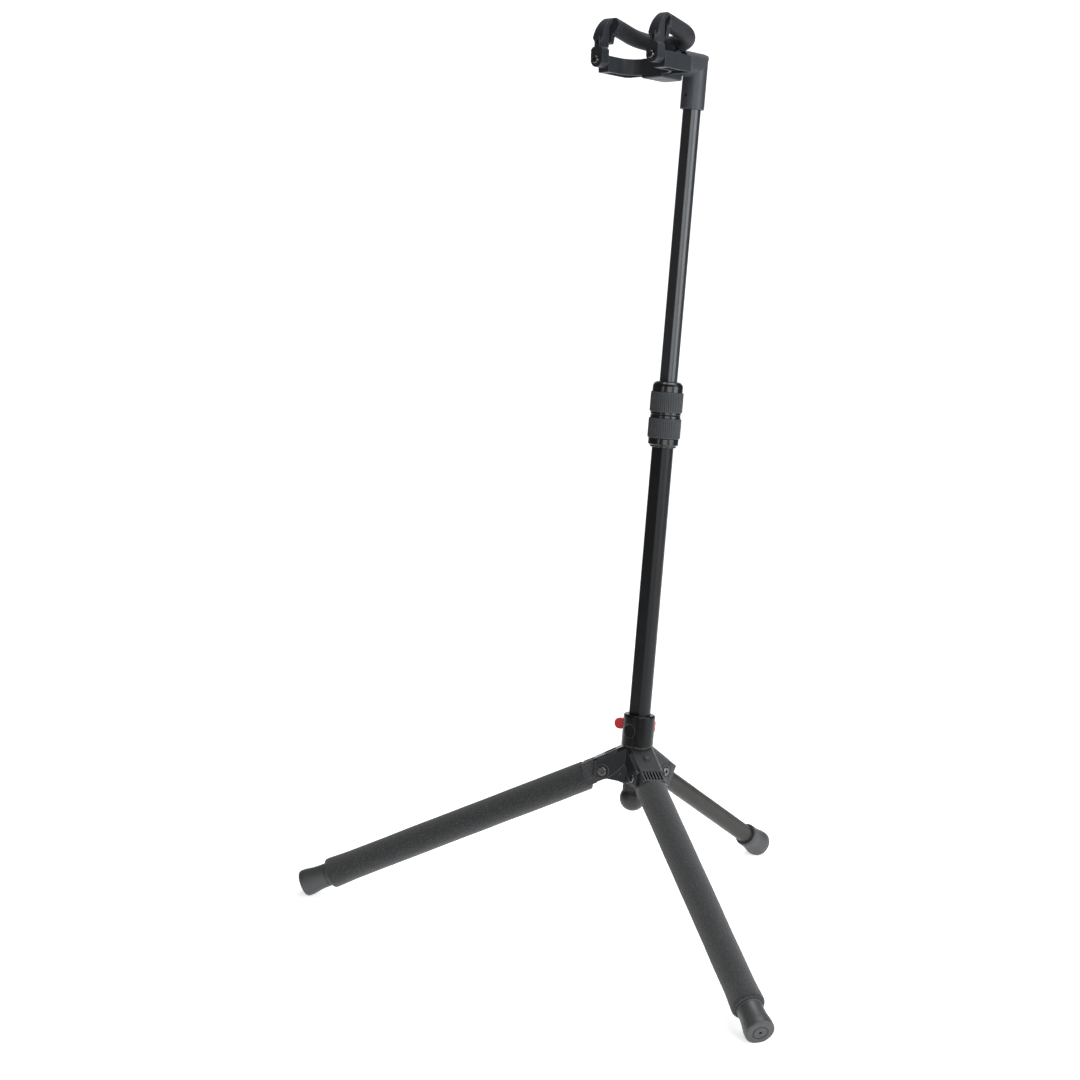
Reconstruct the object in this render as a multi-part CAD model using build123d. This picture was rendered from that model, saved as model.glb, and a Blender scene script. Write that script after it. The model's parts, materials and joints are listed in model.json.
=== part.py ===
from build123d import *
from math import asin, atan, cos, degrees, radians, sin, tan
import os

# Neck-hanging guitar stand, opened out and standing on its three legs.
# World frame: +Z up, floor at z = 0, the neck hangs on the -Y side.
# Mast frame: z runs up the mast axis, the origin is the point of the axis level with the leg pivots,
# -y is the side that the yoke points to. The mast leans back, towards +Y.

# ---- Mast tubes (D-shaped section, the flat faces -y)
LOWER_R = 12.5
UPPER_R = 10.2
WALL = 1.2
FLAT_SHARE = 0.82  # distance of the flat from the axis, as a share of the radius
SLIDE_GAP = 0.4  # free space round a tube that slides through another piece
LOWER_TUBE_LOW = -12.5
LOWER_TUBE_HIGH = 400.0
UPPER_TUBE_LOW = 300.0
UPPER_TUBE_HIGH = 800.0
BALL_R = 15.0
BALL_Z = -31.0

# ---- Hub
PIVOT_R = 36.0  # radius of the circle of leg pivots
HUB_LOW = -11.5
COLLAR_LOW = 31.3
COLLAR_HIGH = 68.7
COLLAR_R = 18.5
CORE_R = 17.0
CHEEK_OUT = 17.0  # half width of a bracket
CHEEK_IN = 14.0  # half width of the gap in a bracket
BRACKET_END = 48.0
ROOF_START = 14.0
ROOF_SLOPE = 29.7
ROOF_THICK = 3.0
BEVEL = 4.2  # along the upper edges of a bracket
STEP_Y = 15.5  # half width of the hub below the curved edge of a cheek
PIN_R = 3.0  # leg pivot screw
PIN_GAP = 0.06

# ---- Release lever on the collar
LEVER_LOW = 49.0
LEVER_HIGH = 60.5
LEVER_IN = 16.7
LEVER_OUT = 19.7
LEVER_FROM = 45.0
LEVER_TO = 196.0
LEVER_PIVOT_R = 16.9
LEVER_PIN_R = 1.2

# ---- Legs, measured from the pivot along the leg
LEG_ANGLES = {"left": -150.0, "right": -30.0, "rear": 90.0}
LEG_LENGTHS = {"left": 396.0, "right": 396.0, "rear": 264.0}
LEG_DIP = 27.5  # slope of every leg below the plane of the pivots
LEG_TUBE_R = 10.75
SLEEVE_R = 13.75
SLEEVE_START = 13.2
SLEEVE_END = 21.5
TONGUE_HALF = 13.5
FITTING_TOP = 15.6
FITTING_LOW = -11.0
RIB_COUNT = 7  # ribs on top of a leg fitting
RIB_THICK = 1.6
FOAM_R = 17.25
FOOT_LENGTH = 36.0
FOOT_R = 16.0
FOOT_ROUND = 2.5
FOOT_CUT = 1.0  # depth of the flat worn on the rim where the foot stands

# ---- Height clutch
CLUTCH_LOW = 380.0
CLUTCH_SPLIT = 417.0
CLUTCH_HIGH = 455.5
BAND_R = 17.5
GRIP_R = 18.85
GRIP_CORE_R = 16.6
GRIP_LENGTH = 23.0
GRIP_SLANT = 8.0  # of the grooves in the rubber
LOWER_GRIP_LOW = 390.5
UPPER_GRIP_LOW = 420.5
SPIGOT_R = 15.2
COLLET_R = 13.2

# ---- Elbow
ELBOW_LOW = 763.0
ELBOW_R = 13.75
SWIVEL_Z = 812.0  # height of the horizontal swivel axis
SWIVEL_R = 14.3
SEAM_Y = -30.0
BOLT_END = -38.5

# ---- Yoke, in its own frame on the swivel axis
YOKE_ROLL = 4.0  # the yoke hangs a little to one side
ARM_OUT = 46.0
ARM_IN = 31.5
ARM_TIP = -116.5
ARM_BACK = -66.0
ARM_LOW = -19.0
ARM_HIGH = -1.5
NECK_BACK = -78.0
YOKE_WALL = 2.4
GATE_X = 38.4
LUG_X = 38.0  # lugs of the cradle's caps, which come down on the arms
GATE_Y = -124.0
GATE_Z = -7.0
CLAW_R = 34.0  # the claw's curve, seen from the side
CLAW_CENTRE_Y = 28.5
CLAW_CENTRE_Z = 17.0

# ---- Cradle, in its own frame on its pin; level when a neck weighs it down
CRADLE_TILT = 13.0
CRADLE_PIN = (0.0, -50.0, 5.0)
CRADLE_RISE = 14.5
CRADLE_BEND = 35.5
CRADLE_BACK = 5.0
CRADLE_REACH = -55.7
PAD_R = 9.5
ROD_R = 4.5
PAD_TURN = 52.0  # how far round the bend each rubber sleeve goes


def stance():
    """Lean of the mast and height of the pivots that stand all three feet on the floor."""
    dip = radians(LEG_DIP)
    front = LEG_LENGTHS["left"]
    rear = LEG_LENGTHS["rear"]
    reach = PIVOT_R + rear * cos(dip) + 0.5 * (PIVOT_R + front * cos(dip))
    lean = 0.0
    for _ in range(30):
        front_dip = asin(cos(lean) * sin(dip) - 0.5 * sin(lean) * cos(dip))
        rear_dip = asin(cos(lean) * sin(dip) + sin(lean) * cos(dip))
        rise = foot_centre_height(front_dip) - foot_centre_height(rear_dip)
        lean = atan(((front - rear) * sin(dip) + rise / cos(lean)) / reach)
    height = foot_centre_height(rear_dip) + rear * sin(dip) * cos(lean)
    height += (PIVOT_R + rear * cos(dip)) * sin(lean)
    return degrees(lean), height


def foot_centre_height(dip):
    """Height of the middle of a foot's end when its rounded rim is cut flat by the floor."""
    return (FOOT_R - FOOT_ROUND) * cos(dip) + FOOT_ROUND * (1 - sin(dip)) - FOOT_CUT


LEAN, PIVOT_HEIGHT = stance()
MAST = Location((0, 0, PIVOT_HEIGHT), (-LEAN, 0, 0))
YOKE = MAST * Location((0, 0, SWIVEL_Z), (0, -YOKE_ROLL, 0))
CRADLE = YOKE * Location(CRADLE_PIN, (-CRADLE_TILT, 0, 0))
ALONG_X = Location((0, 0, 0), (0, 90, 0))
ALONG_Y = Location((0, 0, 0), (-90, 0, 0))


def bracket_frame(leg):
    """Mast frame turned so that x points out along a bracket."""
    return MAST * Location((0, 0, 0), (0, 0, LEG_ANGLES[leg]))


def leg_frame(leg):
    """Origin on the pivot, x down the leg, y along the pivot screw."""
    return bracket_frame(leg) * Location((PIVOT_R, 0, 0), (0, LEG_DIP, 0))


# ---- Helpers

def rod(radius, low, high):
    """Cylinder on the z axis between two heights."""
    return Pos(0, 0, low) * Cylinder(radius, high - low, align=(Align.CENTER, Align.CENTER, Align.MIN))


def tube(outer, inner, low, high):
    return rod(outer, low, high) - rod(inner, low - 1, high + 1)


def block(x, y, z):
    """Box given by its three ranges."""
    box = Box(x[1] - x[0], y[1] - y[0], z[1] - z[0])
    return Pos((x[0] + x[1]) / 2, (y[0] + y[1]) / 2, (z[0] + z[1]) / 2) * box


def turned(points):
    """Solid of revolution about z from (radius, height) points."""
    return revolve(Plane.XZ * make_face(Polyline(*points, close=True)), Axis.Z)


def slab(points, half):
    """Outline in x and z, spread evenly over y."""
    return extrude(Plane.XZ * make_face(Polyline(*points, close=True)), half, both=True)


def d_rod(radius, low, high, flat=None):
    """Cylinder with a flat on its -y side."""
    flat = FLAT_SHARE * radius if flat is None else flat
    cut = block((-2 * radius, 2 * radius), (-3 * radius, -flat), (low - 1, high + 1))
    return rod(radius, low, high) - cut


def d_tube(radius, low, high):
    inner = radius - WALL
    return d_rod(radius, low, high) - d_rod(inner, low - 1, high + 1, FLAT_SHARE * radius - WALL)


def sector(start, end, radius, low, high):
    """Wedge about z between two angles."""
    steps = 8
    turns = [radians(start + (end - start) * i / steps) for i in range(steps + 1)]
    rim = [(radius * cos(a), radius * sin(a)) for a in turns]
    face = make_face(Polyline((0, 0), *rim, close=True))
    return Pos(0, 0, low) * extrude(face, high - low)


def hex_socket(across, low, high):
    face = RegularPolygon(across / 2, 6, major_radius=False)
    return Pos(0, 0, low) * extrude(face, high - low)


def round_head(radius, height, low):
    """Low domed screw head standing on a height, with a hexagon socket."""
    head = rod(radius, low, low + height)
    head = fillet(head.edges().group_by(Axis.Z)[-1], 0.45 * height)
    return head - hex_socket(0.8 * radius, low + 0.4 * height, low + height + 1)


def solids_of(shapes):
    """Several separate solids in one node."""
    return Compound([solid for shape in shapes for solid in shape.solids()])


def sum_of(shapes):
    total = shapes[0]
    for shape in shapes[1:]:
        total = total + shape
    return total


# ---- Hub

def roof(x):
    """Height of a bracket's roof at a distance from the mast axis."""
    return COLLAR_LOW - (x - ROOF_START) * tan(radians(ROOF_SLOPE))


def bracket_outline(drop=0.0, end=BRACKET_END):
    return [(0, HUB_LOW), (22, HUB_LOW + 2), (30, -8.8), (PIVOT_R, -9.4), (44, -8.2), (end, -5),
            (end, roof(end) - drop), (ROOF_START, COLLAR_LOW - drop), (0, COLLAR_LOW - drop)]


def bracket():
    body = slab(bracket_outline(), CHEEK_OUT)
    top = [e for e in body.edges() if e.length > 30 and e.center().Z > roof(PIVOT_R) and abs(e.center().Y) > 1]
    body = chamfer(top, BEVEL)
    rim = slab([(44, -8.6), (BRACKET_END, -5.4), (BRACKET_END, roof(BRACKET_END) - 2.5), (44, roof(44) - 2.5)],
               CHEEK_OUT + 0.7)
    body = body + rim - bevel_grooves() - leg_room() + roof_oval()
    for side in (-1, 1):
        body = body + cheek_boss(side) - cheek_recess(side) + cheek_lip(side) - screw_seat(side)
        body = body + Pos(15, side * STEP_Y, -1) * ALONG_Y * Cylinder(1.2, 1.8)
    return body - Pos(PIVOT_R, 0, 0) * ALONG_Y * Cylinder(PIN_R, 60)


def bevel_grooves():
    """Row of short grooves across each bevel."""
    count = 13
    first = COLLAR_R + 1.2
    pitch = (43.0 - first) / count
    grooves = []
    for side in (-1, 1):
        for i in range(count):
            x = first + (i + 0.5) * pitch
            spot = Pos(x, side * (CHEEK_OUT - BEVEL / 2), roof(x) - 0.55 * BEVEL)
            grooves.append(spot * Rot(0, ROOF_SLOPE, 0) * Rot(-45 * side, 0, 0) * Box(0.5 * pitch, 4.2, 1.7))
    return sum_of(grooves)


def leg_room():
    """Gap between a bracket's cheeks, where the leg's knuckle turns."""
    inner = CORE_R + 3
    outer = BRACKET_END + 12
    outline = [(inner, -20), (outer, -20), (outer, roof(outer) - ROOF_THICK), (inner, roof(inner) - ROOF_THICK)]
    return slab(outline, CHEEK_IN)


def roof_oval():
    """Raised oval with a sunk middle, on the roof."""
    x = 30.5
    pad = fillet(extrude(Ellipse(7.4, 4.3), 1.1).edges().group_by(Axis.Z)[-1], 0.7)
    pad = pad + extrude(Ellipse(7.4, 4.3), -1.0)
    pad = pad - Pos(0, 0, 12.5) * Sphere(12.2)
    return Pos(x, 0, roof(x)) * Rot(0, ROOF_SLOPE, 0) * pad


def cheek_boss(side):
    ring = ALONG_Y * tube(8.2, PIN_R, 0, CHEEK_OUT + 0.9 - CHEEK_IN)
    y = CHEEK_IN if side > 0 else -CHEEK_OUT - 0.9
    return Pos(PIVOT_R, y, 0) * ring


def below_cheek_edge(grow):
    """Outline under the curved edge of a cheek, with the edge moved out by a distance."""
    shift = 0.7 * grow
    start = (31.5 + shift, -9.5 + shift)
    end = (11 + shift, 9.5 + shift)
    arc = ThreePointArc(start, (20.4 + shift, -0.9 + shift), end)
    rest = Polyline(end, (4, end[1]), (4, -14), (start[0], -14), start)
    return extrude(Plane.XZ * make_face([*arc.edges(), *rest.edges()]), 60, both=True)


def cheek_recess(side):
    """Lower part of the cheek, set back behind a curved edge."""
    return below_cheek_edge(0) & block((0, 60), tuple(sorted((side * STEP_Y, side * 20))), (-20, 20))


def cheek_lip(side):
    """Thin raised line along the curved edge."""
    strip = below_cheek_edge(1.0) - below_cheek_edge(0)
    strip = strip & block((9, 60), tuple(sorted((side * STEP_Y, side * (CHEEK_OUT + 0.5)))), (-20, 20))
    return strip & slab(bracket_outline(drop=BEVEL), 30)


def screw_seat(side):
    return Pos(PIVOT_R, side * (CHEEK_OUT + 0.9), 0) * ALONG_Y * Cylinder(5.7, 3.0)


def mast_bore(low, high):
    gap = SLIDE_GAP
    return d_rod(LOWER_R + gap, low, high, FLAT_SHARE * LOWER_R + gap)


def screw_angles():
    """Directions half way between the brackets."""
    return [angle + 60 for angle in LEG_ANGLES.values()]


def at_angle(angle, radius):
    return Location((radius * cos(radians(angle)), radius * sin(radians(angle)), 0), (0, 0, angle))


def hub_core():
    body = rod(CORE_R, HUB_LOW, COLLAR_LOW)
    flare = turned([(0, HUB_LOW), (CORE_R + 2, HUB_LOW), (CORE_R + 2, HUB_LOW + 1.6),
                    (CORE_R - 1, HUB_LOW + 5), (0, HUB_LOW + 5)])
    body = body + flare
    arm = bracket()
    for angle in LEG_ANGLES.values():
        body = body + Rot(0, 0, angle) * arm
    for angle in LEG_ANGLES.values():
        body = body - Rot(0, 0, angle) * leg_room()
    body = body - mast_bore(HUB_LOW - 5, COLLAR_LOW + 5)
    for angle in screw_angles():
        hole = rod(1.3, HUB_LOW - 1, COLLAR_LOW + 1) + rod(2.3, HUB_LOW - 1, HUB_LOW + 4)
        body = body - at_angle(angle, 15.4) * hole
    return body


def collar():
    body = rod(COLLAR_R, COLLAR_LOW, COLLAR_HIGH)
    body = fillet(body.edges().group_by(Axis.Z)[-1], 2.6)
    foot_ring = tube(COLLAR_R + 1, COLLAR_R - 0.6, COLLAR_LOW - 1, COLLAR_LOW + 0.7)
    body = body - foot_ring - mast_bore(COLLAR_LOW - 1, COLLAR_HIGH + 1)
    facet = Pos(0, -COLLAR_R - 7.8, COLLAR_HIGH - 18.5) * ALONG_Y * Cylinder(8.0, 20)
    body = body - facet
    groove = tube(COLLAR_R + 5, LEVER_IN - 0.4, LEVER_LOW - 0.5, LEVER_HIGH + 0.5)
    body = body - (groove & sector(LEVER_FROM - 12, LEVER_TO + 12, 60, 0, 100))
    body = body - at_angle(LEVER_FROM, LEVER_PIVOT_R) * rod(3.0, LEVER_LOW - 0.5, LEVER_HIGH + 0.5)
    body = body - at_angle(LEVER_FROM, LEVER_PIVOT_R) * rod(LEVER_PIN_R, LEVER_LOW - 5, LEVER_HIGH + 20)
    body = body - lock_shoe()
    for angle in screw_angles():
        body = body - at_angle(angle, 15.4) * rod(1.3, COLLAR_LOW - 1, COLLAR_LOW + 9)
    return body


def lock_shoe():
    """Curved brake pad between the lever's cam and the mast."""
    pad = tube(14.0, LOWER_R + SLIDE_GAP, LEVER_LOW + 0.5, LEVER_HIGH - 0.5)
    return pad & sector(LEVER_FROM - 16, LEVER_FROM + 16, 60, 0, 100)


def collar_screws():
    screw = rod(1.3, HUB_LOW + 2.4, COLLAR_LOW + 9) + rod(2.3, HUB_LOW + 1.2, HUB_LOW + 4)
    return solids_of([at_angle(angle, 15.4) * screw for angle in screw_angles()])


def lever_pin():
    pin = rod(LEVER_PIN_R, LEVER_LOW - 5, COLLAR_HIGH - 2.6)
    return at_angle(LEVER_FROM, LEVER_PIVOT_R) * pin


def release_lever():
    band = tube(LEVER_OUT, LEVER_IN, LEVER_LOW, LEVER_HIGH) & sector(LEVER_FROM, LEVER_TO, 60, 0, 100)
    eye = at_angle(LEVER_FROM, LEVER_PIVOT_R) * rod(2.5, LEVER_LOW, LEVER_HIGH)
    width = 14.0
    height = 12.6
    paddle = Plane.XZ * Pos(LEVER_IN + width / 2, 54.0) * RectangleRounded(width, height, 6.0)
    paddle = extrude(paddle, 2.6, both=True) & block((LEVER_IN, 40), (-5, 5), (LEVER_LOW - 3, LEVER_HIGH))
    keep = rod(COLLAR_R + 0.5, 0, LEVER_LOW)
    lever = band + eye + Rot(0, 0, LEVER_TO - 6) * (paddle - keep)
    return lever - at_angle(LEVER_FROM, LEVER_PIVOT_R) * rod(LEVER_PIN_R + PIN_GAP, 0, 100)


def pivot_screw():
    shank = rod(PIN_R, -CHEEK_OUT + 1, CHEEK_OUT - 0.6)
    return shank + round_head(5.2, 2.8, CHEEK_OUT - 0.6)


def pivot_nut():
    """Round nut in the far cheek, closed like a cap."""
    low = CHEEK_OUT - 0.6
    head = round_head(5.2, 2.8, low)
    return Rot(180, 0, 0) * head


def pivot_fasteners(shape):
    return solids_of([bracket_frame(leg) * Pos(PIVOT_R, 0, 0) * Rot(90, 0, 0) * shape for leg in LEG_ANGLES])


# ---- Legs

def leg_fitting():
    """Knuckle between the cheeks, with a ribbed block outside them and a spigot in the leg tube."""
    tongue = block((0, SLEEVE_START), (-TONGUE_HALF, TONGUE_HALF), (-10.2, 10.2))
    knuckle = ALONG_Y * rod(10.2, -TONGUE_HALF, TONGUE_HALF)
    body = tongue + knuckle + fitting_block()
    body = body + ALONG_X * rod(LEG_TUBE_R - WALL, SLEEVE_END, 66)
    body = body - ALONG_Y * rod(PIN_R + PIN_GAP, -30, 30)
    return body - rivet_holes()


def fitting_block():
    """Block that carries on the line of the roof, with its inner face along the end of the bracket."""
    face_x = BRACKET_END - PIVOT_R + 0.6
    dip = radians(LEG_DIP)
    top_x = (face_x - FITTING_TOP * sin(dip)) / cos(dip)
    low_x = (face_x - FITTING_LOW * sin(dip)) / cos(dip)
    outline = [(top_x, FITTING_TOP), (SLEEVE_END, FITTING_TOP), (SLEEVE_END, FITTING_LOW),
               (low_x - 8, FITTING_LOW), (low_x - 8, 0), (SLEEVE_START, 0)]
    body = slab(outline, TONGUE_HALF)
    body = chamfer(body.edges().filter_by(Axis.X).group_by(Axis.Z)[-1], 1.2)
    pitch = 2 * (TONGUE_HALF - 1.2 - RIB_THICK / 2) / (RIB_COUNT - 1)
    half = (pitch - RIB_THICK) / 2
    for i in range(RIB_COUNT - 1):
        y = (i - (RIB_COUNT - 2) / 2) * pitch
        body = body - block((0, SLEEVE_END - 1.6), (y - half, y + half), (11.2, FITTING_TOP + 1))
    for side in (-1, 1):
        y = tuple(sorted((side * 12, side * (TONGUE_HALF + 0.7))))
        body = body + block((SLEEVE_START + 2.3, SLEEVE_END - 0.8), y, (-3.5, 6.5))
    return body


def rivet_holes():
    return sum_of([Pos(x, 0, 0) * rod(2.0, -20, -5) for x in (34, 54)])


def leg_rivets():
    return [Pos(x, 0, 0) * rod(2.0, -LEG_TUBE_R + 0.2, -5) for x in (34, 54)]


def leg_tube(length):
    body = tube(LEG_TUBE_R, LEG_TUBE_R - WALL, SLEEVE_END, length - 9)
    return ALONG_X * body - rivet_holes()


def leg_foam(length):
    low = SLEEVE_END
    high = length - FOOT_LENGTH
    flare = FOAM_R + 1.2
    profile = [(LEG_TUBE_R, low), (FOAM_R - 1.5, low), (FOAM_R, low + 1.5), (FOAM_R, high - 40),
               (flare, high - 8), (flare, high - 2), (flare - 1.8, high), (LEG_TUBE_R, high)]
    return ALONG_X * turned(profile)


def foot(length):
    mouth = length - FOOT_LENGTH
    socket = FOOT_R - 2.0
    profile = [(0, mouth), (socket - 0.8, mouth), (socket, mouth + 0.8), (socket, mouth + 2.6),
               (socket - 0.7, mouth + 3.1), (socket - 0.7, mouth + 3.9), (socket, mouth + 4.4),
               (socket, mouth + 12), (socket + 0.5, mouth + 18), (FOOT_R, mouth + 28), (FOOT_R, length), (0, length)]
    body = turned(profile)
    body = fillet(body.edges().group_by(Axis.Z)[-1], FOOT_ROUND)
    body = body - rod(LEG_TUBE_R, mouth - 1, length - 9)
    body = body - tube(8.6, 7.4, length - 1.0, length + 1) - rod(1.6, length - 4, length + 1)
    flute_count = 12
    for i in range(flute_count):
        place = Rot(0, 0, 360 * (i + 0.5) / flute_count) * Pos(FOOT_R + 2.6, 0, 0)
        flute = rod(3.2, mouth + 15, length - 9)
        body = body - place * flute
    return ALONG_X * body


def floor_cut(shape):
    """Takes off what would reach below the floor."""
    return shape - block((-600, 600), (-600, 600), (-60, 0))


# ---- Lower mast and clutch

def ball_cap():
    neck = rod(LOWER_R + 0.1, BALL_Z + 8, LOWER_TUBE_LOW)
    body = neck - tube(LOWER_R + 2, LOWER_R - 0.8, BALL_Z + 9.2, BALL_Z + 10.2)
    body = body + Pos(0, 0, BALL_Z) * Sphere(BALL_R)
    body = body + d_rod(LOWER_R - WALL, LOWER_TUBE_LOW, 10, FLAT_SHARE * LOWER_R - WALL)
    return body - pin_hole()


def pin_hole():
    return Pos(0, 0, -17) * Rot(0, 0, -120) * ALONG_X * rod(1.3, 4, 20)


def cap_pin():
    return Pos(0, 0, -17) * Rot(0, 0, -120) * ALONG_X * rod(1.3, 4, LOWER_R - 0.6)


def clutch_base():
    high = CLUTCH_SPLIT
    profile = [(LOWER_R, CLUTCH_LOW), (14.6, CLUTCH_LOW), (15.2, CLUTCH_LOW + 0.6), (15.2, CLUTCH_LOW + 2.2),
               (BAND_R - 1.2, CLUTCH_LOW + 2.4), (BAND_R, CLUTCH_LOW + 3.6), (BAND_R, LOWER_GRIP_LOW - 0.8),
               (BAND_R - 0.6, LOWER_GRIP_LOW), (GRIP_CORE_R, LOWER_GRIP_LOW),
               (GRIP_CORE_R, LOWER_GRIP_LOW + GRIP_LENGTH), (BAND_R, LOWER_GRIP_LOW + GRIP_LENGTH),
               (BAND_R, high - 0.5), (BAND_R - 0.5, high), (SPIGOT_R, high), (SPIGOT_R, high + 12),
               (COLLET_R, high + 12), (COLLET_R, high - 12), (UPPER_R + SLIDE_GAP, high - 12),
               (UPPER_R + SLIDE_GAP, LOWER_TUBE_HIGH), (LOWER_R, LOWER_TUBE_HIGH)]
    return turned(profile)


def grip(low):
    """Rubber ring with slanted grooves and rounded ends."""
    body = tube(GRIP_R, GRIP_CORE_R, low, low + GRIP_LENGTH)
    ends = body.edges().filter_by(GeomType.CIRCLE).sort_by(SortBy.RADIUS)[-2:]
    body = chamfer(ends, 0.8)
    groove_count = 52
    length = GRIP_LENGTH - 2.4
    for i in range(groove_count):
        groove = Pos(GRIP_R + 0.3, 0, low + GRIP_LENGTH / 2) * Rot(GRIP_SLANT, 0, 0) * Cylinder(0.85, length)
        body = body - Rot(0, 0, 360 * i / groove_count) * groove
    return body


def collet():
    low = CLUTCH_SPLIT - 12
    high = CLUTCH_SPLIT + 18
    body = turned([(UPPER_R + SLIDE_GAP, low), (COLLET_R, low), (COLLET_R, high - 4),
                   (COLLET_R - 1.4, high), (UPPER_R + SLIDE_GAP, high)])
    for angle in (0, 90):
        body = body - Rot(0, 0, angle) * block((-30, 30), (-0.7, 0.7), (low + 8, high + 1))
    return body


def clutch_nut():
    low = CLUTCH_SPLIT + 0.4
    grip_high = UPPER_GRIP_LOW + GRIP_LENGTH
    profile = [(SPIGOT_R + 0.4, low), (BAND_R - 0.5, low), (BAND_R, low + 0.5), (BAND_R, UPPER_GRIP_LOW),
               (GRIP_CORE_R, UPPER_GRIP_LOW), (GRIP_CORE_R, grip_high), (BAND_R, grip_high),
               (BAND_R, CLUTCH_HIGH - 5.4), (BAND_R - 1.0, CLUTCH_HIGH - 2.8), (BAND_R - 3.0, CLUTCH_HIGH - 0.8),
               (BAND_R - 5.2, CLUTCH_HIGH), (UPPER_R + 0.8, CLUTCH_HIGH), (UPPER_R + 0.8, CLUTCH_HIGH - 8),
               (COLLET_R + 0.4, CLUTCH_SPLIT + 19), (COLLET_R + 0.4, CLUTCH_SPLIT + 12.5),
               (SPIGOT_R + 0.4, CLUTCH_SPLIT + 12.5)]
    return turned(profile)


# ---- Upper mast

def tube_bush():
    outer = LOWER_R - WALL - SLIDE_GAP
    flat = FLAT_SHARE * LOWER_R - WALL - SLIDE_GAP
    body = d_rod(outer, UPPER_TUBE_LOW - 4, UPPER_TUBE_LOW + 30, flat)
    body = body - d_rod(UPPER_R, UPPER_TUBE_LOW, UPPER_TUBE_LOW + 31)
    return body - rod(UPPER_R - 3, UPPER_TUBE_LOW - 5, UPPER_TUBE_LOW + 31)


def elbow():
    upright = rod(ELBOW_R, ELBOW_LOW, SWIVEL_Z + 30)
    upright = chamfer(upright.edges().group_by(Axis.Z)[0], 0.6)
    level = Pos(0, 0, SWIVEL_Z) * ALONG_Y * rod(SWIVEL_R, SEAM_Y, 30)
    mitre = Pos(0, 0, SWIVEL_Z) * Rot(45, 0, 0) * block((-60, 60), (-90, 90), (-90, 0))
    body = (upright & mitre) + (level - mitre)
    outline = [(-60, 700), (ELBOW_R + 0.5, 700), (ELBOW_R + 0.5, SWIVEL_Z + SWIVEL_R),
               (-60, SWIVEL_Z + SWIVEL_R)]
    frame = extrude(Plane.YZ * make_face(Polyline(*outline, close=True)), 60, both=True)
    corner = frame.edges().filter_by(Axis.X).sort_by(lambda e: e.center().Y + e.center().Z)[-1]
    body = body & fillet(corner, 8)
    body = body - rod(UPPER_R, ELBOW_LOW - 1, UPPER_TUBE_HIGH)
    body = body - Pos(0, 0, SWIVEL_Z) * ALONG_Y * rod(9.5, SEAM_Y + 5, -8)
    body = body - Pos(0, 0, SWIVEL_Z) * ALONG_Y * rod(4.0 + PIN_GAP, SEAM_Y - 1, SEAM_Y + 6)
    return body - elbow_screw_at(rod(1.7, ELBOW_R - 3.6, 20) + rod(1.2, 5, 20))


def elbow_screw_at(shape):
    return Pos(0, 0, ELBOW_LOW + 15) * Rot(90, 0, 0) * shape


def elbow_screw():
    return elbow_screw_at(rod(1.2, UPPER_R - 1.9, ELBOW_R - 3.6) + rod(1.7, ELBOW_R - 3.6, ELBOW_R - 1.4))


def upper_tube():
    body = d_tube(UPPER_R, UPPER_TUBE_LOW, UPPER_TUBE_HIGH)
    return body - elbow_screw_at(rod(1.2, 2, 20))


# ---- Yoke

def yoke_frame():
    z = (ARM_LOW, ARM_HIGH)
    body = rear_rounded((-ARM_OUT, ARM_OUT), (ARM_TIP, ARM_BACK), z, 6.0)
    body = body - rear_rounded((-ARM_IN, ARM_IN), (-200, NECK_BACK), (-60, 60), 18.0)
    hollow = rear_rounded((-ARM_OUT + YOKE_WALL, ARM_OUT - YOKE_WALL), (ARM_TIP + 9, ARM_BACK - YOKE_WALL),
                          (ARM_LOW - 1, ARM_HIGH - YOKE_WALL), 4.0)
    hollow = hollow - rear_rounded((-ARM_IN - YOKE_WALL, ARM_IN + YOKE_WALL), (-200, NECK_BACK + YOKE_WALL),
                                   (-60, 60), 20.0)
    shell = body - hollow
    for side in (-1, 1):
        for i in range(4):
            y = ARM_TIP + 17 + 8.5 * i
            x = tuple(sorted((side * (ARM_IN + 1), side * (ARM_OUT - 1))))
            shell = shell + block(x, (y - 0.8, y + 0.8), (ARM_LOW + 3, ARM_HIGH - 1))
            web_x = side * (ARM_IN - 3 - 6.5 * i)
            shell = shell + block((web_x - 0.8, web_x + 0.8), (NECK_BACK + 1, ARM_BACK - 1), (ARM_LOW + 3, ARM_HIGH - 1))
        shell = shell - Pos(side * GATE_X, ARM_TIP + 4, GATE_Z) * ALONG_Y * Cylinder(2.5, 14)
    housing = rear_rounded((-14, 14), (-80, -40), (-23, ARM_HIGH), 5.0)
    housing = fillet(housing.edges().group_by(Axis.Z)[0], 2.0)
    neck = ALONG_Y * rod(SWIVEL_R, ARM_BACK - 1, SEAM_Y - 0.4)
    neck = neck - block((-30, 30), (-90, SEAM_Y - 2), (3, 40))
    lugs = [block((side * 11.5 - 2.3, side * 11.5 + 2.3), (-58, -43.5), (-3, 5.5)) for side in (-1, 1)]
    for side in (-1, 1):
        lugs.append(Pos(side * 11.5, CRADLE_PIN[1], CRADLE_PIN[2]) * ALONG_X * Cylinder(4.8, 4.6))
    body = sum_of([shell, housing, neck, *lugs])
    body = body - cradle_pin_at(rod(2.2, -20, 20))
    well = Pos(0, CRADLE_PIN[1], CRADLE_PIN[2]) * ALONG_X * rod(10.4, -9.2, 9.2)
    body = body - well
    return body - ALONG_Y * rod(4.0, BOLT_END, 0)


def rear_rounded(x, y, z, radius):
    """Box with its two upright edges on the +y side rounded."""
    body = block(x, y, z)
    return fillet(body.edges().filter_by(Axis.Z).sort_by(Axis.Y)[-2:], radius)


def cradle_pin_at(shape):
    return Pos(*CRADLE_PIN) * ALONG_X * shape


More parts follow.
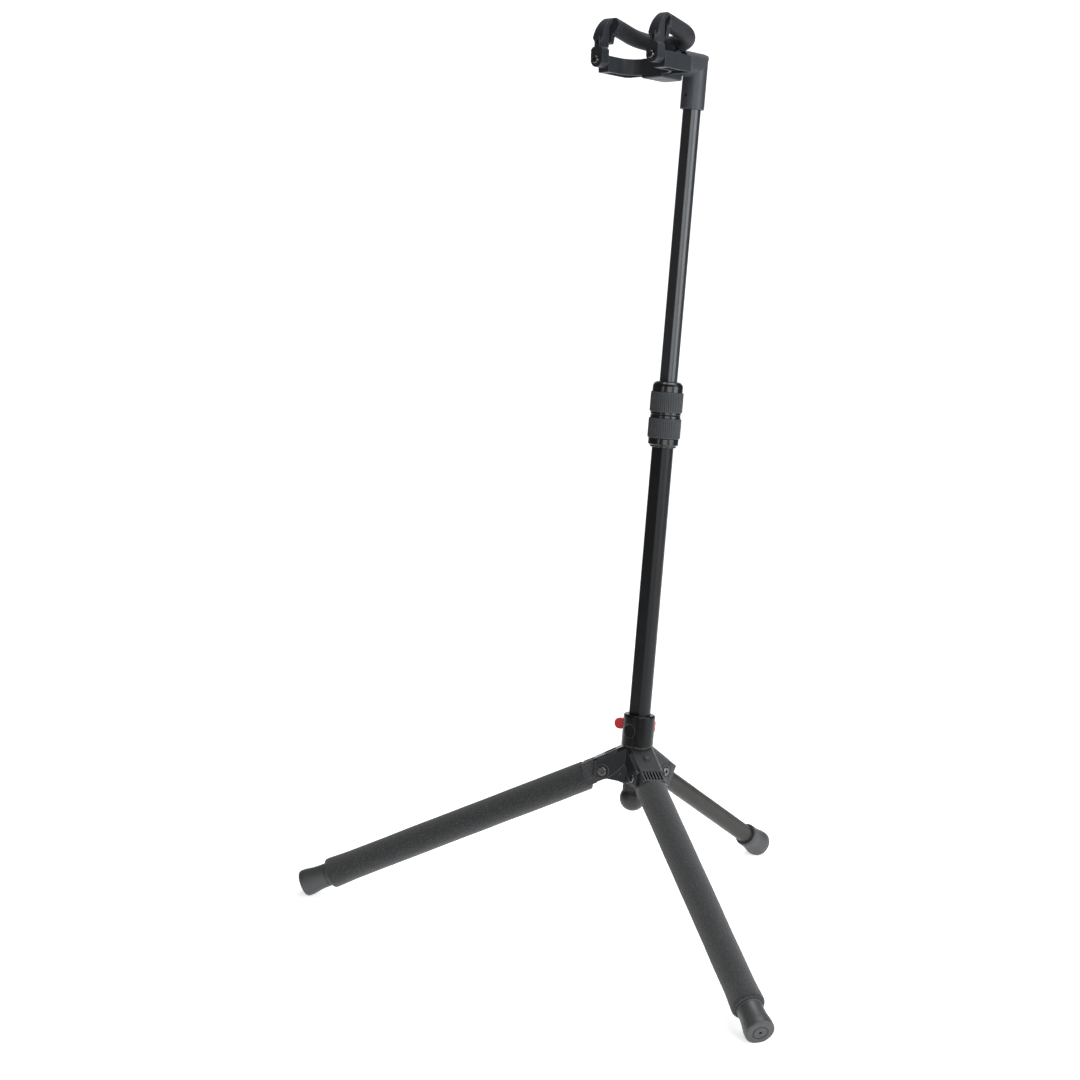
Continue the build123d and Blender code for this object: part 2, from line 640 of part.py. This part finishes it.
def swivel_bolt():
    """Bolt fixed in the yoke that turns in the end wall of the elbow."""
    return ALONG_Y * rod(4.0, BOLT_END, SEAM_Y + 10)


def swivel_nut():
    nut = hex_socket(13, SEAM_Y + 5.4, SEAM_Y + 10) - rod(4.0, -100, 100)
    return ALONG_Y * nut


def gate_screws():
    shank = rod(2.5, -GATE_Y + ARM_TIP - 8, 7.4)
    screw = shank + round_head(4.2, 2.4, 7.4)
    return solids_of([gate_place(side) * Rot(90, 0, 0) * screw for side in (-1, 1)])


def gate_washers():
    ring = tube(5.0, 2.5, 6.5, 7.4)
    return solids_of([gate_place(side) * Rot(90, 0, 0) * ring for side in (-1, 1)])


def gate_place(side):
    return Pos(side * GATE_X, GATE_Y, GATE_Z)


def cradle_spring():
    """Torsion spring round the cradle pin."""
    coil = Helix(pitch=1.7, height=8.5, radius=3.6)
    wire = sweep(Plane(coil @ 0, z_dir=coil % 0) * Circle(0.55), coil)
    return cradle_pin_at(Pos(0, 0, -4.25) * wire)


# ---- Gates

def gate(side):
    """Front lever: a block on the screw, a narrow waist and a claw that curves back over the cradle's tip."""
    depth = 6.0
    block_part = ALONG_Y * rod(8.0, -depth, depth)
    shoulder = block((-8.0, 8.0), (-depth, depth), (0, 14))
    shoulder = chamfer(shoulder.edges().filter_by(Axis.Y).group_by(Axis.Z)[-1], 2.6)
    waist = block((-3.4, 3.4), (-depth, depth - 3), (12, 25))
    claw = gate_claw()
    body = block_part + shoulder + waist + claw + gate_web()
    body = body - block((-1.2, 1.2), (-20, 20), (16, 22.5))
    body = body - ALONG_Y * rod(2.5 + PIN_GAP, -20, 20)
    return body


def gate_web():
    """Thin wall that fills the hollow side of the claw."""
    disc = Pos(0, CLAW_CENTRE_Y, CLAW_CENTRE_Z) * ALONG_X * rod(CLAW_R - 2, -3.0, 3.0)
    return disc & block((-3, 3), (-10, 11.2), (15, 42))


def gate_claw():
    """Curved strap whose hollow side faces the cradle's tip."""
    strap = 4.2
    ring = Pos(0, CLAW_CENTRE_Y, CLAW_CENTRE_Z) * ALONG_X * tube(CLAW_R, CLAW_R - strap, -7, 7)
    window = slab([(-7.0, 2), (-3.4, -3), (3.4, -3), (7.0, 2), (5.6, 28), (-5.6, 28)], 40)
    window = Pos(0, 0, 22) * window & block((-20, 20), (-10, 13.2), (16, 60))
    return ring & window


# ---- Cradle

def straight_run(side, radius):
    """Leg of the U from its tip to the bend."""
    centre_y = CRADLE_BACK - CRADLE_BEND
    return Pos(side * CRADLE_BEND, 0, CRADLE_RISE) * ALONG_Y * rod(radius, CRADLE_REACH, centre_y)


def bend_run(start, end, radius):
    """Stretch of the bend, between two angles measured from +x."""
    centre_y = CRADLE_BACK - CRADLE_BEND
    ring = Torus(CRADLE_BEND, radius)
    low = CRADLE_RISE - 2 * radius
    return Pos(0, centre_y, 0) * (Pos(0, 0, CRADLE_RISE) * ring & sector(start, end, 90, low, low + 4 * radius))


def cradle_rod():
    """Steel rod bent to a U, inside the rubber sleeves and the middle piece."""
    body = straight_run(1, ROD_R) + straight_run(-1, ROD_R) + bend_run(0, 180, ROD_R)
    return body


def cradle_middle():
    body = bend_run(PAD_TURN, 180 - PAD_TURN, PAD_R)
    hinge = block((-8.6, 8.6), (-4.8, 8.0), (0, CRADLE_RISE)) + ALONG_X * Cylinder(4.8, 17.2)
    spring_room = ALONG_X * Cylinder(5.6, 10.4)
    body = body + hinge - spring_room - bend_run(0, 180, ROD_R)
    return body - ALONG_X * Cylinder(2.2 + PIN_GAP, 40)


def cradle_sleeve(side):
    start, end = (0, PAD_TURN) if side > 0 else (180 - PAD_TURN, 180)
    body = straight_run(side, PAD_R) + bend_run(start, end, PAD_R)
    return body - straight_run(side, ROD_R) - bend_run(0, 180, ROD_R)


def cradle_cap(side):
    """Plastic end cap with a lug that reaches down behind the gate."""
    depth = 6.2
    disc = rod(PAD_R, 0, depth)
    disc = fillet(disc.edges().group_by(Axis.Z)[0], 2.0)
    disc = disc - tube(PAD_R + 1, PAD_R - 0.7, depth - 1.1, depth - 0.2)
    cap = Pos(side * CRADLE_BEND, CRADLE_REACH - depth, CRADLE_RISE) * ALONG_Y * disc
    lug_y = (CRADLE_REACH - depth + 0.6, CRADLE_REACH - 0.4)
    lug = block((side * LUG_X - 3.6, side * LUG_X + 3.6), lug_y, (-5.5, CRADLE_RISE))
    return cap + lug


# ---- All pieces

def build():
    nodes = {
        "hub_core": MAST * hub_core(),
        "collar": MAST * collar(),
        "collar_screws": MAST * collar_screws(),
        "lever_pin": MAST * lever_pin(),
        "lock_shoe": MAST * lock_shoe(),
        "pivot_screws": pivot_fasteners(pivot_screw()),
        "pivot_nuts": pivot_fasteners(pivot_nut()),
        "release_lever": MAST * release_lever(),
        "lower_tube": MAST * d_tube(LOWER_R, LOWER_TUBE_LOW, LOWER_TUBE_HIGH),
        "ball_cap": MAST * ball_cap(),
        "cap_pin": MAST * cap_pin(),
        "clutch_base": MAST * clutch_base(),
        "clutch_lower_grip": MAST * grip(LOWER_GRIP_LOW),
        "collet": MAST * collet(),
        "clutch_nut": MAST * clutch_nut(),
        "clutch_upper_grip": MAST * grip(UPPER_GRIP_LOW),
        "upper_tube": MAST * upper_tube(),
        "tube_bush": MAST * tube_bush(),
        "elbow": MAST * elbow(),
        "elbow_screw": MAST * elbow_screw(),
        "yoke_frame": YOKE * yoke_frame(),
        "swivel_bolt": YOKE * swivel_bolt(),
        "swivel_nut": YOKE * swivel_nut(),
        "gate_screws": YOKE * gate_screws(),
        "gate_washers": YOKE * gate_washers(),
        "cradle_pin": YOKE * cradle_pin_at(rod(2.2, -13.8, 13.8)),
        "cradle_spring": YOKE * cradle_spring(),
        "cradle_rod": CRADLE * cradle_rod(),
        "cradle_middle": CRADLE * cradle_middle(),
    }
    for name, side in (("left", -1), ("right", 1)):
        nodes["cradle_sleeve_" + name] = CRADLE * cradle_sleeve(side)
        nodes["cradle_cap_" + name] = CRADLE * cradle_cap(side)
        nodes["gate_" + name] = YOKE * gate_place(side) * gate(side)
    for leg, length in LEG_LENGTHS.items():
        place = leg_frame(leg)
        nodes["leg_fitting_" + leg] = place * leg_fitting()
        nodes["leg_tube_" + leg] = place * leg_tube(length)
        nodes["leg_rivets_" + leg] = solids_of([place * rivet for rivet in leg_rivets()])
        nodes["foot_" + leg] = floor_cut(place * foot(length))
        if leg != "rear":
            nodes["leg_foam_" + leg] = place * leg_foam(length)
    return nodes


def centred(nodes):
    """Moves everything along y so that the middle of the feet's outline is over the origin."""
    boxes = [nodes["foot_" + leg].bounding_box() for leg in LEG_ANGLES]
    middle = (min(b.min.Y for b in boxes) + max(b.max.Y for b in boxes)) / 2
    return {name: Pos(0, -middle, 0) * shape for name, shape in nodes.items()}, -middle


if __name__ == "__main__":
    os.makedirs("parts", exist_ok=True)
    parts, shift = centred(build())
    for node_name, node_shape in parts.items():
        export_step(node_shape, "parts/" + node_name + ".step")
    print("lean", round(LEAN, 3), "pivot height", round(PIVOT_HEIGHT, 3), "shift", round(shift, 3))
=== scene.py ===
import json
import math
import bpy
from mathutils import Matrix, Vector, noise


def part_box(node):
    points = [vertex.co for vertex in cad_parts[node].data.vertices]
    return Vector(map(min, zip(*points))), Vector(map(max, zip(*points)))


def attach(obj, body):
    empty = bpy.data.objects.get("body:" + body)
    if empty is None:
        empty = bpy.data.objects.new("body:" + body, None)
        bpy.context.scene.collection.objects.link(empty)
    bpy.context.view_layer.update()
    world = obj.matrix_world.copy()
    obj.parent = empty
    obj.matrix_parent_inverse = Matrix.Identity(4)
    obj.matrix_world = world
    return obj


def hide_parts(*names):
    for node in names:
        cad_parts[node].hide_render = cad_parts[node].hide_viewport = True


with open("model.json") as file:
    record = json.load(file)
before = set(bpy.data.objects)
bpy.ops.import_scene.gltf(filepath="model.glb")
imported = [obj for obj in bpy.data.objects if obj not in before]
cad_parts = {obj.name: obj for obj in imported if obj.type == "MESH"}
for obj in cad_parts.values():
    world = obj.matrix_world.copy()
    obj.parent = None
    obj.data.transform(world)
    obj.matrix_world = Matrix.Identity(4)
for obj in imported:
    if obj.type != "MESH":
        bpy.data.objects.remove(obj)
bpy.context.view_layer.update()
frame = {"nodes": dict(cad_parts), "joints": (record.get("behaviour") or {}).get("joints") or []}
nodes = frame["nodes"]
joints = {joint["name"]: joint for joint in frame["joints"]}

FRONT_LEGS = ("left", "right")
ALL_LEGS = ("left", "right", "rear")
MM = 0.001
CAMERA_AZIMUTH = 40.92
CAMERA_ELEVATION = 11.97
CAMERA_DISTANCE = 2.701
CAMERA_ROLL = -0.44
LENS = 76.17
AIM_HEIGHT = 0.45  # height that every lamp points at
ROOM_LIGHT = 0.10
FLOOR_GLOW = 0.62

EDGE_SAMPLES = 6
# EDGE_FULL and EDGE_NONE set where the painted edge highlight, a pale colour standing in for the light that
# edges catch, fades in.
EDGE_FULL = 0.88  # cosine between softened and plain normal where an edge is fully pale
EDGE_NONE = 0.992
GLOSS_SPREAD = 0.12
GRAIN_HEIGHT = 0.0004
PORE_HEIGHT = 0.0006
FLECK_SCALE = 0.55  # size of the flecks' noise against the pores
DARK_SHARE = 0.6

FOAM_R = 17.1
FOAM_FLARE_GAP = 0.3
FOAM_FLARE_RUN = 34
FOAM_SIDES = 96
FOAM_STEPS = 150
TOP_ROUND = (2.2, 2.0)  # length and depth of the rounding at the sleeve's upper end
FOOT_ROUND = (3.0, 2.6)
SLOW_WAVE = (22.0, 0.35)  # cycles per metre and height in mm
FINE_WAVE = (420.0, 0.10)
WAVE_LIMIT = 0.25


# ---- Camera, floor and light

def aim(thing, place, target, roll=0.0):
    """Points a camera's or lamp's -Z at a target."""
    turn = (Vector(target) - Vector(place)).to_track_quat("-Z", "Y")
    thing.location = place
    thing.rotation_euler = (turn.to_matrix() @ Matrix.Rotation(math.radians(roll), 3, "Z")).to_euler()


def make_camera():
    azimuth = math.radians(CAMERA_AZIMUTH)
    elevation = math.radians(CAMERA_ELEVATION)
    target = Vector((-0.1433, -0.0151, 0.4252))
    back = Vector((math.sin(azimuth) * math.cos(elevation), -math.cos(azimuth) * math.cos(elevation),
                   math.sin(elevation)))
    data = bpy.data.cameras.new("camera")
    data.lens = LENS
    data.sensor_width = 36
    data.clip_end = 50
    camera = bpy.data.objects.new("camera", data)
    bpy.context.scene.collection.objects.link(camera)
    aim(camera, target + back * CAMERA_DISTANCE, target, roll=CAMERA_ROLL)
    bpy.context.scene.camera = camera


def area_light(name, bearing, distance, height, size, power, colour=(1.0, 1.0, 1.0)):
    """Soft box at a bearing in degrees, measured from -Y towards +X, turned to the middle of the object."""
    data = bpy.data.lights.new(name, "AREA")
    data.shape = "RECTANGLE"
    data.size = size[0]
    data.size_y = size[1]
    data.energy = power
    data.color = colour
    light = bpy.data.objects.new(name, data)
    bpy.context.scene.collection.objects.link(light)
    angle = math.radians(bearing)
    place = (distance * math.sin(angle), -distance * math.cos(angle), height)
    aim(light, place, (0, 0, AIM_HEIGHT))


def make_sweep():
    """White paper sweep: a pale floor that curves up behind the object."""
    half = 1.8
    near = -1.0
    far = 2.2
    bend = 1.6
    steps = 16
    profile = [(near, 0.0), (far, 0.0)]
    for i in range(1, steps + 1):
        a = i * math.pi / 2 / steps
        profile.append((far + bend * math.sin(a), bend * (1 - math.cos(a))))
    profile.append((far + bend, 2.6))
    turn = Matrix.Rotation(math.radians(CAMERA_AZIMUTH), 3, "Z")
    points = [turn @ Vector((x, y, z)) for y, z in profile for x in (-half, half)]
    faces = [(2 * i, 2 * i + 1, 2 * i + 3, 2 * i + 2) for i in range(len(profile) - 1)]
    mesh = bpy.data.meshes.new("floor")
    mesh.from_pydata(points, [], faces)
    for face in mesh.polygons:
        face.use_smooth = True
    floor = bpy.data.objects.new("floor", mesh)
    bpy.context.scene.collection.objects.link(floor)
    floor.data.materials.append(floor_material())


def make_light():
    """Soft boxes round the camera's side and over the object, in a dim room."""
    world = bpy.data.worlds.new("studio")
    world.use_nodes = True
    background = world.node_tree.nodes["Background"]
    background.inputs["Color"].default_value = (1.0, 1.0, 1.0, 1.0)
    background.inputs["Strength"].default_value = ROOM_LIGHT
    bpy.context.scene.world = world
    area_light("warm_box", CAMERA_AZIMUTH - 38, 2.7, 0.95, (0.3, 1.6), 6.5, (1.0, 0.95, 0.88))
    area_light("camera_box", CAMERA_AZIMUTH + 13, 3.0, 1.3, (2.0, 1.8), 44, (0.95, 0.98, 1.0))
    area_light("side_box", CAMERA_AZIMUTH + 62, 2.7, 1.1, (1.6, 1.8), 54, (0.9, 0.96, 1.0))
    area_light("top_box", 180, 0.6, 2.6, (1.6, 1.6), 40, (0.97, 0.98, 1.0))


# ---- Materials

def new_material(name):
    material = bpy.data.materials.new(name)
    material.use_nodes = True
    tree = material.node_tree
    return material, tree, tree.nodes["Principled BSDF"]


def node(tree, kind, **inputs):
    """New shader node with its inputs set by name; underscores stand for spaces."""
    made = tree.nodes.new(kind)
    for key, value in inputs.items():
        made.inputs[key.replace("_", " ")].default_value = value
    return made


def object_noise(tree, scale, detail=3.0, roughness=0.55):
    """Noise fixed to the object, in cycles per metre."""
    place = tree.nodes.new("ShaderNodeTexCoord")
    made = node(tree, "ShaderNodeTexNoise", Scale=scale, Detail=detail, Roughness=roughness)
    tree.links.new(place.outputs["Object"], made.inputs["Vector"])
    return made


def ramp(tree, source, stops):
    """Colour ramp over a 0 to 1 value; each stop is (position, grey or colour)."""
    made = tree.nodes.new("ShaderNodeValToRGB")
    elements = made.color_ramp.elements
    while len(elements) < len(stops):
        elements.new(0.5)
    for element, (position, colour) in zip(elements, stops):
        element.position = position
        element.color = (*colour, 1.0) if isinstance(colour, tuple) else (colour, colour, colour, 1.0)
    tree.links.new(source, made.inputs["Fac"])
    return made.outputs["Color"]


def mixed(base, share):
    """A colour made darker or paler by a share."""
    return tuple(channel * share for channel in base)


def edge_share(tree, rounded):
    """How much of a point is edge, used as the mask of the painted edge highlight: 1 where the softened
    normal leans away from the plain one.
    """
    plain = tree.nodes.new("ShaderNodeNewGeometry")
    lean = tree.nodes.new("ShaderNodeVectorMath")
    lean.operation = "DOT_PRODUCT"
    tree.links.new(rounded.outputs["Normal"], lean.inputs[0])
    tree.links.new(plain.outputs["Normal"], lean.inputs[1])
    return ramp(tree, lean.outputs["Value"], [(EDGE_FULL, 1.0), (EDGE_NONE, 0.0)])


def surface(name, base, roughness, vary=0.12, grain=900.0, grain_depth=0.05, edge=0.4, edge_highlight=None,
            **settings):
    """Moulded or painted surface: mottled colour, uneven gloss, fine grain, and softened edges made paler
    by a painted highlight.

    Noise is in cycles per metre and the edge radius in mm; the edge colour argument is the colour of a
    painted highlight on the edges, which stands in for the light they catch.
    """
    patch = 14.0
    material, tree, shader = new_material(name)
    patches = object_noise(tree, patch, 4.0)
    shades = [(0.3, mixed(base, 1 - vary)), (0.7, mixed(base, 1 + vary))]
    colour = ramp(tree, patches.outputs["Fac"], shades)
    rounded = tree.nodes.new("ShaderNodeBevel")
    rounded.samples = EDGE_SAMPLES
    rounded.inputs["Radius"].default_value = edge * MM
    # Painted edge highlight: a pale colour mixed in on the edges in place of the light they catch.
    if edge_highlight:
        edge_highlight_mix = node(tree, "ShaderNodeMixRGB", Color2=(*edge_highlight, 1.0))
        tree.links.new(edge_share(tree, rounded), edge_highlight_mix.inputs["Fac"])
        tree.links.new(colour, edge_highlight_mix.inputs["Color1"])
        colour = edge_highlight_mix.outputs["Color"]
    tree.links.new(colour, shader.inputs["Base Color"])
    smears = object_noise(tree, patch * 4, 5.0)
    rough = [(0.3, roughness * (1 - GLOSS_SPREAD)), (0.7, min(1.0, roughness * (1 + GLOSS_SPREAD)))]
    gloss = ramp(tree, smears.outputs["Fac"], rough)
    tree.links.new(gloss, shader.inputs["Roughness"])
    fine = object_noise(tree, grain, 2.0)
    bump = node(tree, "ShaderNodeBump", Strength=grain_depth, Distance=GRAIN_HEIGHT)
    tree.links.new(fine.outputs["Fac"], bump.inputs["Height"])
    tree.links.new(rounded.outputs["Normal"], bump.inputs["Normal"])
    tree.links.new(bump.outputs["Normal"], shader.inputs["Normal"])
    for key, value in settings.items():
        shader.inputs[key.replace("_", " ")].default_value = value
    return material


def speckled(name, base, fleck, roughness, pore, depth, fleck_share=0.62):
    """Foam or textured rubber: pores from a cell pattern, with pale flecks."""
    material, tree, shader = new_material(name)
    place = tree.nodes.new("ShaderNodeTexCoord")
    cells = node(tree, "ShaderNodeTexVoronoi", Scale=pore)
    tree.links.new(place.outputs["Object"], cells.inputs["Vector"])
    flecks = object_noise(tree, pore * FLECK_SCALE, 3.0, 0.7)
    stops = [(0.34, mixed(base, DARK_SHARE)), (fleck_share - 0.1, base), (fleck_share + 0.04, fleck)]
    colour = ramp(tree, flecks.outputs["Fac"], stops)
    tree.links.new(colour, shader.inputs["Base Color"])
    bump = node(tree, "ShaderNodeBump", Strength=depth, Distance=PORE_HEIGHT)
    height = tree.nodes.new("ShaderNodeMath")
    height.operation = "ADD"
    tree.links.new(cells.outputs["Distance"], height.inputs[0])
    tree.links.new(flecks.outputs["Fac"], height.inputs[1])
    tree.links.new(height.outputs["Value"], bump.inputs["Height"])
    tree.links.new(bump.outputs["Normal"], shader.inputs["Normal"])
    shader.inputs["Roughness"].default_value = roughness
    shader.inputs["Specular IOR Level"].default_value = 0.3
    return material


def floor_material():
    """White floor with a little light of its own, so that it shows white in the picture."""
    material, tree, shader = new_material("floor_white")
    patches = object_noise(tree, 0.8, 2.0)
    colour = ramp(tree, patches.outputs["Fac"], [(0.0, 0.90), (1.0, 0.93)])
    tree.links.new(colour, shader.inputs["Base Color"])
    shader.inputs["Roughness"].default_value = 0.9
    shader.inputs["Specular IOR Level"].default_value = 0.1
    shader.inputs["Emission Color"].default_value = (1.0, 1.0, 1.0, 1.0)
    shader.inputs["Emission Strength"].default_value = FLOOR_GLOW
    return material


def dress(material, *names):
    """Gives CAD nodes a material through their slots."""
    for name in names:
        thing = nodes[name]
        if not thing.data.materials:
            thing.data.materials.append(material)
        for slot in thing.material_slots:
            slot.material = material


def each_leg(prefix):
    return [prefix + leg for leg in ALL_LEGS]


def dress_plastics():
    # The pale edge colours given below are painted edge highlights.
    elbow = surface("elbow_plastic", (0.040, 0.044, 0.050), 0.46, grain=1500, grain_depth=0.16, edge=0.8,
                    edge_highlight=(0.10, 0.108, 0.12), Specular_IOR_Level=0.4)
    dress(elbow, "elbow")
    head = surface("head_plastic", (0.022, 0.0242, 0.0290), 0.46, grain=1500, grain_depth=0.16, edge=0.6,
                   edge_highlight=(0.12, 0.13, 0.145), Specular_IOR_Level=0.35)
    dress(head, "yoke_frame", "cradle_middle", "cradle_cap_left", "cradle_cap_right", "gate_left",
          "gate_right")
    hub = surface("hub_plastic", (0.0085, 0.0092, 0.0105), 0.36, grain=1300, grain_depth=0.25, edge=0.7,
                  edge_highlight=(0.13, 0.136, 0.148), Specular_IOR_Level=0.35)
    dress(hub, "hub_core")
    dress(surface("ball_rubber", (0.017, 0.0172, 0.0175), 0.42, grain=1000, grain_depth=0.1), "ball_cap")
    fitting = surface("fitting_plastic", (0.034, 0.036, 0.040), 0.40, grain=1300, grain_depth=0.2, edge=0.6,
                      edge_highlight=(0.13, 0.135, 0.145), Specular_IOR_Level=0.35)
    dress(fitting, *each_leg("leg_fitting_"))
    collar = surface("collar_plastic", (0.004, 0.004, 0.0042), 0.27, grain=700, grain_depth=0.03, edge=0.9,
                     edge_highlight=(0.13, 0.13, 0.13), Specular_IOR_Level=0.22)
    dress(collar, "collar")
    gloss = surface("gloss_plastic", (0.006, 0.006, 0.0062), 0.24, grain=700, grain_depth=0.03, edge=0.8,
                    edge_highlight=(0.05, 0.05, 0.05), Specular_IOR_Level=0.5)
    dress(gloss, "clutch_base", "clutch_nut")
    red = surface("red_plastic", (0.55, 0.018, 0.03), 0.3, vary=0.08, grain=800, grain_depth=0.04, edge=0.6)
    dress(red, "release_lever")
    dress(surface("inner_nylon", (0.25, 0.25, 0.24), 0.5), "collet", "tube_bush")


def dress_metals():
    # The pale edge colours given below are painted edge highlights.
    black = surface("mast_paint", (0.008, 0.0084, 0.0092), 0.38, vary=0.1, grain=1600, edge=0.9,
                    edge_highlight=(0.045, 0.046, 0.048), Specular_IOR_Level=0.25)
    dress(black, "lower_tube")
    upper = surface("upper_paint", (0.018, 0.0195, 0.023), 0.34, vary=0.1, grain=1600, edge=0.9,
                    edge_highlight=(0.075, 0.078, 0.084), Specular_IOR_Level=0.7)
    dress(upper, "upper_tube")
    legs = surface("leg_paint", (0.016, 0.0138, 0.0112), 0.42, grain=1400, grain_depth=0.06, edge=0.3,
                   Specular_IOR_Level=0.35)
    dress(legs, *each_leg("leg_tube_"))
    nickel = surface("nickel", (0.16, 0.155, 0.15), 0.24, vary=0.08, grain_depth=0.03, edge=0.25,
                     Metallic=1.0)
    dress(nickel, "pivot_screws", "pivot_nuts", "collar_screws", "lever_pin", "cap_pin", "swivel_bolt",
          "swivel_nut", "gate_screws", "gate_washers", "cradle_pin", "cradle_spring", "cradle_rod",
          *each_leg("leg_rivets_"))
    dress(surface("black_oxide", (0.015, 0.015, 0.015), 0.4, Metallic=1.0), "elbow_screw")
    dress(surface("shoe_brass", (0.6, 0.45, 0.2), 0.35, Metallic=1.0), "lock_shoe")


def dress_rubbers():
    # The pale edge colour given below is a painted edge highlight.
    grip = surface("grip_rubber", (0.036, 0.039, 0.043), 0.6, grain=1500, grain_depth=0.3, edge=0.5,
                   edge_highlight=(0.12, 0.126, 0.134), Specular_IOR_Level=0.35)
    dress(grip, "clutch_lower_grip", "clutch_upper_grip")
    sleeve = speckled("sleeve_rubber", (0.021, 0.0222, 0.0250), (0.035, 0.037, 0.041), 0.6, 1800, 0.2)
    dress(sleeve, "cradle_sleeve_left", "cradle_sleeve_right")
    foot = surface("foot_rubber", (0.048, 0.049, 0.050), 0.45, grain=1200, grain_depth=0.1, edge=0.6)
    dress(foot, *each_leg("foot_"))


# ---- Foam sleeves

def leg_line(leg):
    """Pivot of a leg and the direction of its tube."""
    pivot = Vector(joints["leg_fold_" + leg]["pos_m"])
    low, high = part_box("leg_tube_" + leg)
    return pivot, ((low + high) / 2 - pivot).normalized()


def span_on_line(name, pivot, along):
    """Start and end of a node along a line, and its bore and outer radius."""
    offsets = [vertex.co - pivot for vertex in nodes[name].data.vertices]
    reach = [offset.dot(along) for offset in offsets]
    radii = [(offset - along * offset.dot(along)).length for offset in offsets]
    return min(reach), max(reach), min(radii), max(radii)


def rounding(reach, length, depth):
    """How far the skin draws in at a distance from the sleeve's end, along a quarter circle."""
    share = min(reach, length * MM) / (length * MM)
    return depth * MM * (1 - math.sqrt(max(0.0, 1 - (1 - share) ** 2)))


def foam_radius(share, length, flare):
    """Outer radius along the sleeve: rounded at both ends and wider where it is pushed against the foot."""
    body = FOAM_R * MM
    reach = share * length
    swell = max(0.0, 1 - (length - reach) / (FOAM_FLARE_RUN * MM))
    radius = body + (flare - body) * math.sin(swell * math.pi / 2) ** 2
    return radius - rounding(reach, *TOP_ROUND) - rounding(length - reach, *FOOT_ROUND)


def wave(point, scale, height):
    return noise.noise(point * scale) * height * MM


def make_foam(leg, material):
    """Foam sleeve as one closed skin with slight waviness from being pulled over the tube."""
    pivot, along = leg_line(leg)
    start, end, bore, flare = span_on_line("leg_foam_" + leg, pivot, along)
    side = along.orthogonal().normalized()
    other = along.cross(side)
    shares = [0.5 * (1 - math.cos(math.pi * i / FOAM_STEPS)) for i in range(FOAM_STEPS + 1)]
    rings = [(0.0, bore)] + [(share, None) for share in shares] + [(1.0, bore)]
    points = []
    for share, fixed in rings:
        for j in range(FOAM_SIDES):
            angle = 2 * math.pi * j / FOAM_SIDES
            out = side * math.cos(angle) + other * math.sin(angle)
            centre = pivot + along * (start + (end - start) * share)
            radius = fixed or foam_radius(share, end - start, flare - FOAM_FLARE_GAP * MM)
            if fixed is None:
                spot = centre + out * radius
                radius += min(wave(spot, *SLOW_WAVE) + wave(spot, *FINE_WAVE), WAVE_LIMIT * MM)
            points.append(centre + out * radius)
    count = len(rings)
    faces = []
    for i in range(count):
        this_ring = i * FOAM_SIDES
        next_ring = (i + 1) % count * FOAM_SIDES
        for j in range(FOAM_SIDES):
            k = (j + 1) % FOAM_SIDES
            faces.append((this_ring + j, this_ring + k, next_ring + k, next_ring + j))
    mesh = bpy.data.meshes.new("foam_" + leg)
    mesh.from_pydata(points, [], faces)
    mesh.validate()
    for face in mesh.polygons:
        face.use_smooth = True
    foam = bpy.data.objects.new("foam_sleeve_" + leg, mesh)
    bpy.context.scene.collection.objects.link(foam)
    foam.data.materials.append(material)
    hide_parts("leg_foam_" + leg)
    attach(foam, "leg_" + leg)


def foam_material():
    material = speckled("foam_skin", (0.0135, 0.0136, 0.0139), (0.058, 0.059, 0.061), 0.95, 1700, 0.45)
    shader = material.node_tree.nodes["Principled BSDF"]
    shader.inputs["Sheen Weight"].default_value = 0.25
    shader.inputs["Sheen Roughness"].default_value = 0.6
    return material


make_camera()
make_sweep()
make_light()
dress_plastics()
dress_metals()
dress_rubbers()
foam_skin = foam_material()
for front_leg in FRONT_LEGS:
    make_foam(front_leg, foam_skin)
bpy.context.scene.view_settings.view_transform = "Standard"
